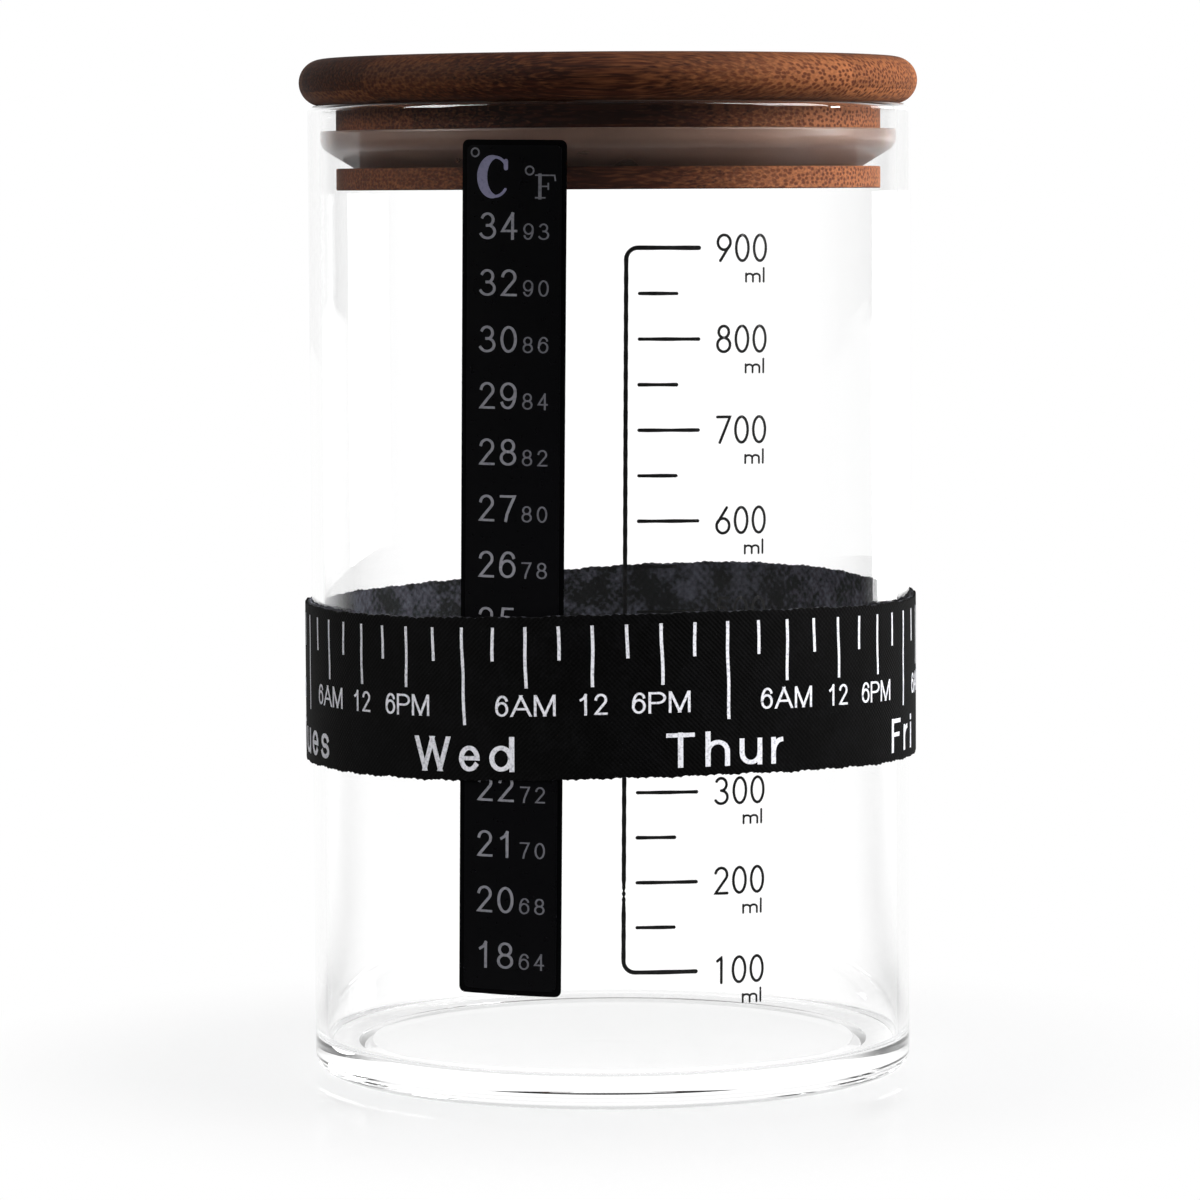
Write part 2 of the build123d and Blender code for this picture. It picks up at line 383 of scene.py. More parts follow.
def make_piece(name, shape, material, body, slot, *nodes):
    """A mesh object with outward faces, which rides on a body and replaces the named nodes."""
    points, faces = shape
    mesh = bpy.data.meshes.new(name)
    mesh.from_pydata(points.tolist(), [], [face.tolist() for face in faces])
    shell = bmesh.new()
    shell.from_mesh(mesh)
    bmesh.ops.remove_doubles(shell, verts=shell.verts, dist=1e-7)
    if shell.calc_volume(signed=True) < 0:
        bmesh.ops.reverse_faces(shell, faces=shell.faces)
    shell.to_mesh(mesh)
    shell.free()
    mesh.polygons.foreach_set("use_smooth", [True] * len(mesh.polygons))
    mesh.set_sharp_from_angle(angle=math.radians(38))
    mesh.materials.append(material)
    piece = bpy.data.objects.new(name, mesh)
    bpy.context.collection.objects.link(piece)
    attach(piece, body)
    if nodes:
        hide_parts(*nodes)
    return piece


# Materials


def linear(colour, alpha=1.0):
    """An sRGB hex colour as linear red, green, blue and alpha."""
    parts = np.array([int(colour[i:i + 2], 16) for i in (1, 3, 5)]) / 255
    parts = np.where(parts <= 0.04045, parts / 12.92, ((parts + 0.055) / 1.055) ** 2.4)
    return (*parts.tolist(), alpha)


def add(tree, kind, inputs=(), **settings):
    """Adds a node, gives it its settings, and sets or links its inputs."""
    node = tree.nodes.new(kind)
    for key, value in settings.items():
        setattr(node, key, value)
    for key, value in dict(inputs).items():
        if isinstance(value, bpy.types.NodeSocket):
            tree.links.new(value, node.inputs[key])
        else:
            node.inputs[key].default_value = value
    return node


def reckon(tree, operation, *values, clamp=False):
    """The result of a Math node on these numbers or sockets."""
    node = add(tree, "ShaderNodeMath", enumerate(values), operation=operation, use_clamp=clamp)
    return node.outputs[0]


def noise(tree, place, scale, detail):
    """Cloudy noise from 0 to 1, with this many cycles to the metre and levels of detail."""
    node = add(tree, "ShaderNodeTexNoise", {"Vector": place, "Scale": scale, "Detail": detail})
    return node.outputs["Fac"]


def blend(tree, share, first, second):
    """A colour between two colours, by this share of the second."""
    return add(tree, "ShaderNodeMix", {0: share, 6: first, 7: second}, data_type="RGBA").outputs[2]


def new_material(name):
    """An empty material, with its node tree and its output node."""
    material = bpy.data.materials.new(name)
    material.use_nodes = True
    tree = material.node_tree
    tree.nodes.clear()
    return material, tree, tree.nodes.new("ShaderNodeOutputMaterial")


def borosilicate_glass():
    """Drawn and fire-polished borosilicate glass: clear, colourless and mirror-smooth.

    Lamps shine through it as through clear glass, so that what is inside is lit. Light that has
    been mirrored to and fro inside the wall leaves it straight, as it would in the end.
    """
    material, tree, output = new_material("borosilicate_glass")
    glass = add(tree, "ShaderNodeBsdfPrincipled", {
        "Base Color": linear("#ffffff"),
        "Roughness": 0.0,
        "IOR": 1.47,
        "Transmission Weight": 1.0,
    })
    clear = add(tree, "ShaderNodeBsdfTransparent", {"Color": linear("#f8f9f9")})
    path = add(tree, "ShaderNodeLightPath").outputs
    trapped = reckon(tree, "GREATER_THAN", path["Ray Depth"], 5.5)
    straight = reckon(tree, "MAXIMUM", path["Is Shadow Ray"], trapped)
    both = add(tree, "ShaderNodeMixShader", {0: straight, 1: glass.outputs[0], 2: clear.outputs[0]})
    tree.links.new(both.outputs[0], output.inputs["Surface"])
    return material


def carbonised_bamboo():
    """Steamed brown bamboo board, glued in strips, turned and oiled, with its fibres along X.

    Fibre bundles are 0.7 mm apart: darker dots on the paler end grain at both sides, and faint lines
    where the wood is cut along them. Each glued strip, 20 mm by 7.2 mm, has a shade of its own. The
    board is painted paler towards +X, as painted light from that side, and the disc's lowest 2 mm,
    on its lower rounding, are painted paler, as painted light caught from below.
    """
    material, tree, output = new_material("carbonised_bamboo")
    coordinates = add(tree, "ShaderNodeTexCoord").outputs
    place = coordinates["Object"]
    facing = add(tree, "ShaderNodeSeparateXYZ", {0: coordinates["Normal"]}).outputs[0]
    facing = reckon(tree, "ABSOLUTE", facing)
    end_grain = add(tree, "ShaderNodeMapRange", {"Value": facing, "From Min": 0.1, "From Max": 0.75},
                    interpolation_type="SMOOTHSTEP").outputs[0]
    drift = add(tree, "ShaderNodeTexNoise", {"Vector": place, "Scale": 70.0, "Detail": 2.0})
    bent = add(tree, "ShaderNodeVectorMath", {0: drift.outputs["Color"], 1: (0.0008,) * 3, 2: place},
               operation="MULTIPLY_ADD").outputs[0]
    section = add(tree, "ShaderNodeSeparateXYZ", {0: bent}).outputs
    section = add(tree, "ShaderNodeCombineXYZ", {0: section[1], 1: section[2]}).outputs[0]
    bundles = add(tree, "ShaderNodeTexVoronoi", {"Vector": section, "Scale": 1430.0, "Randomness": 0.75},
                  voronoi_dimensions="2D")
    dots = add(tree, "ShaderNodeMapRange", {
        "Value": bundles.outputs["Distance"], "From Min": 0.46, "From Max": 0.2},
        interpolation_type="SMOOTHSTEP").outputs[0]
    depth = add(tree, "ShaderNodeMapRange", {
        "Value": end_grain, "To Min": 0.35, "To Max": 0.92}).outputs[0]
    dots = reckon(tree, "MULTIPLY", dots, depth)
    fibres = add(tree, "ShaderNodeMapping", {"Vector": bent, "Scale": (220.0, 3200.0, 3200.0)})
    fine = noise(tree, fibres.outputs[0], 1.0, 4.0)
    strips = add(tree, "ShaderNodeMapping", {
        "Vector": place, "Scale": (0.0, 50.0, 139.0), "Location": (0.5, 0.47, 0.84)})
    strip_number = add(tree, "ShaderNodeVectorMath", {0: strips.outputs[0]}, operation="FLOOR")
    shade = add(tree, "ShaderNodeTexWhiteNoise", {"Vector": strip_number.outputs[0]}).outputs["Value"]
    cloud = noise(tree, place, 55.0, 3.0)
    tone = reckon(tree, "MULTIPLY_ADD", shade, 0.2, -0.68)
    tone = reckon(tree, "MULTIPLY_ADD", cloud, 0.3, tone)
    tone = reckon(tree, "MULTIPLY_ADD", fine, 0.9, tone)
    tone = reckon(tree, "MULTIPLY_ADD", end_grain, 0.3, tone)
    parts = add(tree, "ShaderNodeSeparateXYZ", {0: place}).outputs
    # painted light: the wood is painted paler towards +X, 3.6 in tone per metre, for light from the right
    tone = reckon(tree, "MULTIPLY_ADD", parts[0], 3.6, tone)
    # painted light: the band from 143 to 145 mm high, the disc's lower rounding, is painted paler for the
    # light it catches from below
    layer = reckon(tree, "COMPARE", parts[2], 144.0 * MM, 1.0 * MM)
    tone = reckon(tree, "MULTIPLY_ADD", layer, 0.12, tone, clamp=True)
    ground = blend(tree, tone, linear("#2f1409"), linear("#b46f42"))
    mixed = blend(tree, dots, ground, linear("#48200f"))
    relief = reckon(tree, "SUBTRACT", fine, dots)
    bump = add(tree, "ShaderNodeBump", {"Strength": 0.4, "Distance": 0.0001, "Height": relief})
    rough = add(tree, "ShaderNodeMapRange", {"Value": fine, "To Min": 0.65, "To Max": 0.85}).outputs[0]
    wood = add(tree, "ShaderNodeBsdfPrincipled", {
        "Base Color": mixed, "Roughness": rough, "Specular IOR Level": 0.1, "Normal": bump.outputs[0]})
    tree.links.new(wood.outputs[0], output.inputs["Surface"])
    return material


def food_silicone():
    """Moulded food-grade silicone rubber: milky and see-through, with a soft sheen.

    It lets some of the light straight through, so the wood behind tints it.
    """
    material, tree, output = new_material("food_silicone")
    place = add(tree, "ShaderNodeTexCoord").outputs["Object"]
    haze = noise(tree, place, 120.0, 1.0)
    rough = add(tree, "ShaderNodeMapRange", {"Value": haze, "To Min": 0.24, "To Max": 0.34}).outputs[0]
    tint = blend(tree, haze, linear("#70554a"), linear("#866b5d"))
    rubber = add(tree, "ShaderNodeBsdfPrincipled", {"Base Color": tint, "Roughness": rough, "IOR": 1.41})
    clear = add(tree, "ShaderNodeBsdfTransparent")
    both = add(tree, "ShaderNodeMixShader", {0: 0.3, 1: rubber.outputs[0], 2: clear.outputs[0]})
    tree.links.new(both.outputs[0], output.inputs["Surface"])
    return material


def black_film(name, colour, roughness):
    """Printed polyester film: near black and glossy, with a faint unevenness in its gloss."""
    material, tree, output = new_material(name)
    place = add(tree, "ShaderNodeTexCoord").outputs["Object"]
    dust = noise(tree, place, 900.0, 4.0)
    rough = add(tree, "ShaderNodeMapRange", {
        "Value": dust, "To Min": roughness, "To Max": roughness + 0.1}).outputs[0]
    film = add(tree, "ShaderNodeBsdfPrincipled", {
        "Base Color": linear(colour), "Roughness": rough, "Specular IOR Level": 0.13})
    tree.links.new(film.outputs[0], output.inputs["Surface"])
    return material


def print_ink(name, colour, roughness, worn, wear):
    """Screen-printed ink: one flat colour, with specks 0.4 mm across where it is thin."""
    material, tree, output = new_material(name)
    place = add(tree, "ShaderNodeTexCoord").outputs["Object"]
    speck = noise(tree, place, 2600.0, 3.0)
    thin = add(tree, "ShaderNodeMapRange", {
        "Value": speck, "From Min": 0.48, "From Max": 0.75, "To Max": wear}).outputs[0]
    tint = blend(tree, thin, linear(colour), linear(worn))
    ink = add(tree, "ShaderNodeBsdfPrincipled", {"Base Color": tint, "Roughness": roughness, "IOR": 1.5})
    tree.links.new(ink.outputs[0], output.inputs["Surface"])
    return material


def woven_elastic(name, dark, light, thread, specular):
    """Woven elastic webbing: warp and weft threads this far apart, fuzzed by loose fibres."""
    material, tree, output = new_material(name)
    place = add(tree, "ShaderNodeTexCoord").outputs["Object"]
    parts = add(tree, "ShaderNodeSeparateXYZ", {0: place})
    angle = reckon(tree, "ARCTAN2", parts.outputs[0], parts.outputs[1])
    threads = float(round(math.pi * FACE_OUTER / thread))
    warp = reckon(tree, "MULTIPLY", angle, threads)
    warp = reckon(tree, "SINE", warp)
    weft = reckon(tree, "MULTIPLY", parts.outputs[2], math.pi / thread)
    weft = reckon(tree, "SINE", weft)
    weave = reckon(tree, "MULTIPLY", warp, weft)
    fuzz = noise(tree, place, 1300.0, 4.0)
    cloud = noise(tree, place, 240.0, 4.0)
    height = reckon(tree, "MULTIPLY_ADD", fuzz, 1.6, weave)
    level = reckon(tree, "MULTIPLY_ADD", cloud, 1.3, fuzz)
    level = reckon(tree, "MULTIPLY_ADD", weave, 0.07, level)
    level = add(tree, "ShaderNodeMapRange", {
        "Value": level, "From Min": 1.04, "From Max": 1.5}).outputs[0]
    tint = blend(tree, level, linear(dark), linear(light))
    bump = add(tree, "ShaderNodeBump", {"Strength": 0.35, "Distance": 0.0001, "Height": height})
    cloth = add(tree, "ShaderNodeBsdfPrincipled", {
        "Base Color": tint, "Roughness": 0.8, "Specular IOR Level": specular, "Normal": bump.outputs[0]})
    tree.links.new(cloth.outputs[0], output.inputs["Surface"])
    return material


# Pieces


def glass_jar():
    """The jar's wall, rim, floor and foot, as one closed profile turned about the axis."""
    rim = WALL / 2
    recess = JAR_RADIUS - OUTER_CORNER - FOOT_WIDTH
    profile = outline(
        (0, RECESS_DEPTH),
        (recess - RECESS_SLOPE, RECESS_DEPTH),
        (recess, 0),
        arc((JAR_RADIUS - OUTER_CORNER, OUTER_CORNER), OUTER_CORNER, -90, 0, 12),
        arc((JAR_RADIUS - rim, JAR_HEIGHT - rim), rim, 0, 180, 12),
        arc((BORE_RADIUS - INNER_CORNER, FLOOR + INNER_CORNER), INNER_CORNER, 0, -90, 12),
        (0, FLOOR),
    )
    make_piece("jar_glass", turned(held(profile)), borosilicate_glass(), "jar", "clear_glass", "glass_jar")


def lid():
    """The turned bamboo disc and plug."""
    nose = DISC_THICKNESS / 2
    middle = JAR_HEIGHT + nose
    disc = outline(
        (0, JAR_HEIGHT),
        arc((DISC_RADIUS - nose, middle), nose, -90, 90, 24),
        (0, JAR_HEIGHT + DISC_THICKNESS),
    )
    groove_bottom = PLUG_BOTTOM + FLANGE_HEIGHT
    groove_top = groove_bottom + GROOVE_HEIGHT
    edge = PLUG_RADIUS - PLUG_EDGE
    plug = outline(
        (0, PLUG_BOTTOM),
        arc((edge, PLUG_BOTTOM + PLUG_EDGE), PLUG_EDGE, -90, 0, 4),
        arc((edge, groove_bottom - PLUG_EDGE), PLUG_EDGE, 0, 90, 4),
        (GROOVE_RADIUS, groove_bottom),
        (GROOVE_RADIUS, groove_top),
        (PLUG_RADIUS, groove_top),
        (PLUG_RADIUS, JAR_HEIGHT),
        (0, JAR_HEIGHT),
    )
    wood = carbonised_bamboo()
    make_piece("bamboo_disc", turned(held(disc)), wood, "lid", "disc_bamboo", "lid_disc")
    make_piece("bamboo_plug", turned(held(plug)), wood, "lid", "plug_bamboo", "lid_plug")


def seal():
    """The silicone ring: a flat top, a short upright lip and a rounded shoulder into the groove."""
    inner, outer = GROOVE_RADIUS + SEAL_CLEARANCE, BORE_RADIUS - SEAL_CLEARANCE
    bottom = PLUG_BOTTOM + FLANGE_HEIGHT + SEAL_CLEARANCE
    top = PLUG_BOTTOM + FLANGE_HEIGHT + GROOVE_HEIGHT - SEAL_CLEARANCE
    lip_bottom = top - SEAL_LIP_HEIGHT
    slope = math.atan2(lip_bottom - bottom, outer - inner - SEAL_FOOT)
    back = SEAL_SHOULDER * math.tan((math.pi / 2 - slope) / 2)
    centre = (outer - SEAL_SHOULDER, lip_bottom + back)
    shoulder = arc(centre, SEAL_SHOULDER, math.degrees(slope) - 90, 0, 10)
    profile = outline(
        (inner, bottom),
        (inner + SEAL_FOOT, bottom),
        shoulder,
        arc((outer - SEAL_LIP_EDGE, top - SEAL_LIP_EDGE), SEAL_LIP_EDGE, 0, 90, 4),
        (inner, top),
    )
    make_piece("silicone_seal", turned(held(profile)), food_silicone(), "seal", "silicone", "seal_ring")


def strip_film(name, base, thickness, inset, material, slot, *nodes):
    """A rounded rectangle of film on the glass.

    Its outline is filled by rows: across runs from -w(z) to w(z), where w narrows as a
    quarter circle does within the corner radius of each end.
    """
    half = STRIP_WIDTH / 2 - inset
    low, high = STRIP_BOTTOM + inset, STRIP_TOP - inset
    corner = STRIP_CORNER
    t = np.radians(np.linspace(0, 90, 7))
    bend = corner * (1 - np.cos(t))
    ups = np.concatenate((low + corner * (1 - np.sin(t[::-1])), high - corner * (1 - np.sin(t))))
    halves = half - np.concatenate((bend[::-1], bend))
    across = np.linspace(-1, 1, 33)
    flat = np.stack(np.broadcast_arrays(halves[:, None] * across, ups[:, None]), axis=-1)
    rows, columns = flat.shape[:2]
    flat = tilted(flat.reshape(-1, 2), STRIP_TILT, np.array([0, (low + high) / 2]))
    points = np.concatenate((
        wrap(flat, base + thickness, STRIP_AZIMUTH, JAR_RADIUS),
        wrap(flat, base, STRIP_AZIMUTH, JAR_RADIUS),
    ))
    top = grid(rows, columns)
    count = rows * columns
    index = np.arange(count).reshape(rows, columns)
    border = np.concatenate((index[0, :-1], index[:-1, -1], index[-1, :0:-1], index[:0:-1, 0]))
    after = np.roll(border, -1)
    walls = np.column_stack((after, border, border + count, after + count))
    faces = list(top) + list(top[:, ::-1] + count) + list(walls)
    return make_piece(name, (points, faces), material, "jar", slot, *nodes)


def strip():
    """The temperature strip: black film, a slightly lighter panel set in, and what is printed in it.

    The panel's gloss is that of the clear cover, which isn't drawn by itself.
    """
    base = black_film("black_polyester_film", "#030304", 0.2)
    panel = black_film("liquid_crystal_panel", "#0a0a0c", 0.24)
    strip_film("strip_film_black", 0, STRIP_BACKING, 0, base, "black_film", "strip_backing")
    strip_film("strip_film_panel", STRIP_BACKING, STRIP_PANEL, STRIP_BORDER, panel, "crystal_panel",
               "strip_panel", "strip_cover")
    centre = (0, (STRIP_TOP + STRIP_BOTTOM) / 2)
    pen = pen_for(STRIP_AZIMUTH, JAR_RADIUS + STRIP_BACKING + STRIP_PANEL, PRINT, STRIP_TILT, centre)
    grey = print_ink("grey_film_ink", "#8e8e95", 0.45, "#58585d", 0.6)
    dim = print_ink("dim_grey_film_ink", "#6c6c73", 0.45, "#444449", 0.6)
    lilac = print_ink("lilac_film_ink", "#8684a3", 0.45, "#5c5b70", 0.5)
    strip_figures(pen, grey, dim)
    strip_letters(pen, lilac, dim)


def strip_figures(pen, celsius_ink, fahrenheit_ink):
    """Two columns of temperatures: large ones in Celsius, and small ones in Fahrenheit beside them."""
    celsius, fahrenheit = [], []
    for row, (warm, other) in enumerate(zip(CELSIUS, FAHRENHEIT)):
        up = FIRST_BASELINE - row * ROW_PITCH
        celsius += write(pen, str(warm), CELSIUS_HEIGHT, CELSIUS_STROKE, CELSIUS_GAP, CELSIUS_MIDDLE, up)
        fahrenheit += write(pen, str(other), FAHRENHEIT_HEIGHT, FAHRENHEIT_STROKE, FAHRENHEIT_GAP,
                            FAHRENHEIT_MIDDLE, up)
    make_piece("strip_figures_celsius", join_shapes(celsius), celsius_ink, "jar", "crystal_panel")
    make_piece("strip_figures_fahrenheit", join_shapes(fahrenheit), fahrenheit_ink, "jar", "crystal_panel")


def strip_letters(pen, large_ink, small_ink):
    """The large C, the small F with its serifs, and a degree ring beside each.

    The C is an arc of an ellipse, whose line swells by (-cos t) ^ 0.8 on its left.
    """
    t = np.radians(np.linspace(42, 320, 41))
    middle, half_size, thin, swelling = (-2.65, 132.5), (2.0, 2.75), 0.4, 1.15  # in millimetres
    curve = (middle + half_size * np.column_stack((np.cos(t), np.sin(t)))) * MM
    heavy = (thin + swelling * np.clip(-np.cos(t), 0, 1) ** 0.8) * MM
    beak, beak_top, beak_bottom = -1.05 * MM, 134.7 * MM, 133.7 * MM
    letter_c = [
        pen(curve, heavy, "round"),
        pen(line((beak, beak_top), (beak, beak_bottom)), 0.62 * MM, "round", 1),
    ]
    make_piece("strip_letter_c", join_shapes(letter_c), large_ink, "jar", "crystal_panel")

    ring, ring_line = 0.58 * MM, 0.24 * MM
    ring_places = ((-5.75 * MM, 135.9 * MM), (2.45 * MM, 133.4 * MM))
    small_letters = [pen(bow(*place, ring, ring, 0, 360), ring_line) for place in ring_places]
    stem, foot, middle_bar, head = 3.95 * MM, 129.6 * MM, 131.2 * MM, 132.75 * MM
    bar_end, serif, fine = stem + 1.2 * MM, 0.6 * MM, 0.2 * MM
    small_letters += [
        pen(line((stem, foot), (stem, head)), 0.48 * MM),
        pen(line((stem - serif, foot), (stem + 0.7 * MM, foot)), fine, layer=1),
        pen(line((stem - serif, head), (stem + 2.1 * MM, head), (stem + 2.2 * MM, head - 0.7 * MM)),
            fine, layer=2),
        pen(line((stem, middle_bar), (bar_end, middle_bar)), fine, layer=3),
        pen(line((bar_end, 131.6 * MM), (bar_end, 130.8 * MM)), 0.22 * MM, layer=4),
    ]
    make_piece("strip_letter_f_and_degrees", join_shapes(small_letters), small_ink, "jar", "crystal_panel")


def volume_scale():
    """The volume scale in fired-on enamel: the bracket with its marks, and the figures."""
    ink = print_ink("black_glass_enamel", "#060606", 0.4, "#303030", 0.5)
    middle = (0, (SCALE_TOP + SCALE_BOTTOM) / 2)
    pen = pen_for(SCALE_AZIMUTH, JAR_RADIUS, ENAMEL, SCALE_TILT, middle)
    marks = [scale_bracket(pen)] + scale_marks(pen)
    make_piece("scale_bracket_and_marks", join_shapes(marks), ink, "jar", "black_enamel",
               "volume_scale_marks")
    make_piece("scale_figures", join_shapes(scale_figures(pen)), ink, "jar", "black_enamel")


def scale_bracket(pen):
    """The long line with its two arms, as one stroke.

    Its width waves by a twentieth, and near its foot it is worn and narrows unevenly.
    """
    bracket = outline(
        line((SCALE_ARM, SCALE_BOTTOM), (SCALE_CORNER, SCALE_BOTTOM))[:-1],
        arc((SCALE_CORNER, SCALE_BOTTOM + SCALE_CORNER), SCALE_CORNER, 270, 180),
        line((0, SCALE_BOTTOM + SCALE_CORNER), (0, SCALE_TOP - SCALE_CORNER), step=0.4 * MM)[1:-1],
        arc((SCALE_CORNER, SCALE_TOP - SCALE_CORNER), SCALE_CORNER, 180, 90),
        line((SCALE_CORNER, SCALE_TOP), (SCALE_ARM, SCALE_TOP))[1:],
    )
    across, up = bracket[:, 0] / MM, bracket[:, 1] / MM
    worn_middle, worn_reach = 31.2, 1.6  # in millimetres, as across and up are
    worn = np.exp(-((up - worn_middle) / worn_reach) ** 2) * (across < 0.1)
    width = SCALE_LINE * (1 + 0.05 * np.sin(2.3 * up + across) - worn * (0.35 + 0.3 * np.sin(9.0 * up)))
    return pen(bracket, width, "round")


def scale_marks(pen):
    """The free marks between the arms, every second one long. Their width waves by a twelfth."""
    marks = []
    for number in range(1, SCALE_MARKS - 1):
        up = SCALE_BOTTOM + number * SCALE_PITCH
        length = SCALE_SHORT if number % 2 else SCALE_LONG
        path = line((SCALE_GAP, up), (SCALE_GAP + length, up))
        uneven = 1 + 0.08 * np.sin(1.9 * number + path[:, 0] / (0.9 * MM))
        marks.append(pen(path, SCALE_MARK * uneven, "round"))
    return marks


def scale_figures(pen):
    """The strokes of the figures beside every second mark, 100 to 900, and of the unit below each."""
    height, spacing, thin, first_figure = 3.85 * MM, 2.82 * MM, 0.4 * MM, 13.1 * MM
    unit_size, unit_line, unit_left, unit_drop = (2.9 * MM, 1.9 * MM), 0.3 * MM, 17.6 * MM, 4.75 * MM
    strokes = []
    for number in range(0, SCALE_MARKS, 2):
        up = SCALE_BOTTOM + number * SCALE_PITCH
        for place, figure in enumerate(str(100 + 50 * number)):
            corner = np.array([first_figure + place * spacing, up - height / 2])
            strokes += [pen(line(*(path * height + corner)), thin, "round", layer)
                        for layer, path in enumerate(THIN_LETTERS[figure])]
        corner = np.array([unit_left, up - unit_drop])
        for letter in "ml":
            strokes += [pen(line(*(path * unit_size + corner)), unit_line, "round", layer)
                        for layer, path in enumerate(THIN_LETTERS[letter])]
    return strokes


def band_layer(name, inner, outer, picks, height, material, body, slot, node):
    """One layer of webbing, whose edges rise and fall where its weft turns back.

    The edge stands off by height times |sin(picks a / 2)|, plus a slow wander, and the whole
    layer follows the band's sag.
    """
    steps = 2240
    a = np.linspace(0, 2 * math.pi, steps, endpoint=False)
    left, right = inner + BAND_EDGE, outer - BAND_EDGE
    low, high = BAND_BOTTOM + BAND_EDGE, BAND_TOP - BAND_EDGE
    profile = held(outline(
        arc((left, low), BAND_EDGE, 180, 270, 2),
        arc((right, low), BAND_EDGE, 270, 360, 2),
        arc((right, high), BAND_EDGE, 0, 90, 2),
        arc((left, high), BAND_EDGE, 90, 180, 2),
    ))
    picked = height * (np.abs(np.sin(picks * a / 2)) - 0.5)
    wander = height * (0.45 * np.sin(23 * a + 1.1) * np.sin(7 * a) + 0.35 * np.sin(61 * a + 0.4))
    top = profile[:, 1:] > (BAND_BOTTOM + BAND_TOP) / 2
    rise = band_sag(a) + np.where(top, picked + wander, np.roll(picked + wander, steps // 5))
    return make_piece(name, turned(profile, rise, steps), material, body, slot, node)


def band():
    """The weekday band: its two layers, the white print and the zigzag that closes it."""
    backing = band_layer("band_webbing", BACKING_INNER, BACKING_OUTER, BACKING_PICKS, BACKING_PICK_HEIGHT,
                         woven_elastic("black_woven_elastic", "#060607", "#484852", BACKING_THREAD, 0.2),
                         "band_inner", "woven_elastic", "band_backing")
    face = band_layer("band_face_cloth", FACE_INNER, FACE_OUTER, FACE_PICKS, FACE_PICK_HEIGHT,
                      woven_elastic("black_band_cloth", "#030303", "#080809", FACE_THREAD, 0.08),
                      "band", "band_cloth", "band_face")
    white = print_ink("white_transfer_print", "#ececf2", 0.6, "#9a9aa4", 0.8)
    thread = print_ink("black_polyester_thread", "#101012", 0.6, "#26262a", 0.6)
    pieces = band_print(white) + [band_seam(thread)]


def band_print(ink):
    """The marks round the band, one for every three hours, with the hours and weekdays below them.

    Mark number n leans by 0.9 + 0.9 sin(2.1 n) degrees, and its line wanders by 0.05 mm.
    """
    marks, hours, names = [], [], []
    for day, name in enumerate(DAYS):
        midnight = MONDAY + day * MARKS_PER_DAY * MARK_STEP
        for mark in range(MARKS_PER_DAY):
            kind = "long" if mark == 0 else "short" if mark % 2 else "medium"
            place = midnight + mark * MARK_STEP
            number = day * MARKS_PER_DAY + mark
            lean = math.radians(0.9 + 0.9 * math.sin(2.1 * number))
            pen = pen_for(place, FACE_OUTER, PRINT, lean, (0, BAND_MARK_TOP), band_sag)
            half = BAND_MARK / 2
            path = line((0, BAND_MARK_TOP - half), (0, BAND_MARK_TOP - MARK_LENGTHS[kind] + half))
            path[:, 0] += 0.05 * MM * np.sin(path[:, 1] / (1.3 * MM) + number)
            marks.append(pen(path, BAND_MARK))
            if mark in HOURS:
                pen = pen_for(place, FACE_OUTER, PRINT, 0, (0, 0), band_sag)
                hours += write(pen, HOURS[mark], HOUR_HEIGHT, HOUR_STROKE, HOUR_GAP, 0, HOUR_BASELINE)
        pen = pen_for(midnight, FACE_OUTER, PRINT, 0, (0, 0), band_sag)
        names += write(pen, name, DAY_HEIGHT, DAY_STROKE, DAY_GAP, 0, DAY_BASELINE)
    return [
        make_piece("band_marks_print", join_shapes(marks), ink, "band", "white_print", "band_marks"),
        make_piece("band_hours_print", join_shapes(hours), ink, "band", "white_print"),
        make_piece("band_days_print", join_shapes(names), ink, "band", "white_print"),
    ]


def band_seam(thread):
    """The zigzag thread over the band's butted ends, in the middle of the bare stretch."""
    across = SEAM_HALF_WIDTH * (-1.0) ** np.arange(SEAM_CORNERS)
    up = np.linspace(BAND_BOTTOM + SEAM_MARGIN, BAND_TOP - SEAM_MARGIN, SEAM_CORNERS)
    pen = pen_for(MONDAY - BARE_STRETCH / FACE_OUTER / 2, FACE_OUTER, SEAM_HEIGHT, 0, (0, 0), band_sag)
    seam = pen(line(*np.column_stack((across, up))), SEAM_THREAD, "round")
    return make_piece("band_seam_thread", seam, thread, "band", "black_thread", "band_stitching")


# The photograph's setting


def rays_to_setting(tree, third_turn):
    """Light Path's sockets, and how far a ray is mirrored, or has come straight through glass.

    A ray at its third turn was mirrored once inside a wall of glass, and one past its fourth at the
    jar's far wall, so both count as mirrored. Light for matt surfaces, also for those inside the jar,
    is neither. A surface numbers the third turn 3, and the world 4.
    """
    path = add(tree, "ShaderNodeLightPath").outputs
    third = reckon(tree, "COMPARE", path["Ray Depth"], third_turn, 0.5)
    later = reckon(tree, "GREATER_THAN", path["Ray Depth"], third_turn + 1.5)
    turned_back = reckon(tree, "MAXIMUM", third, later)
    matt = reckon(tree, "GREATER_THAN", path["Diffuse Depth"], 0.5)
    clear = reckon(tree, "SUBTRACT", path["Is Transmission Ray"], turned_back, clamp=True)
    mirrored = reckon(tree, "SUBTRACT", path["Is Glossy Ray"], clear, clamp=True)
    through = reckon(tree, "SUBTRACT", clear, matt, clamp=True)
    return path, mirrored, through


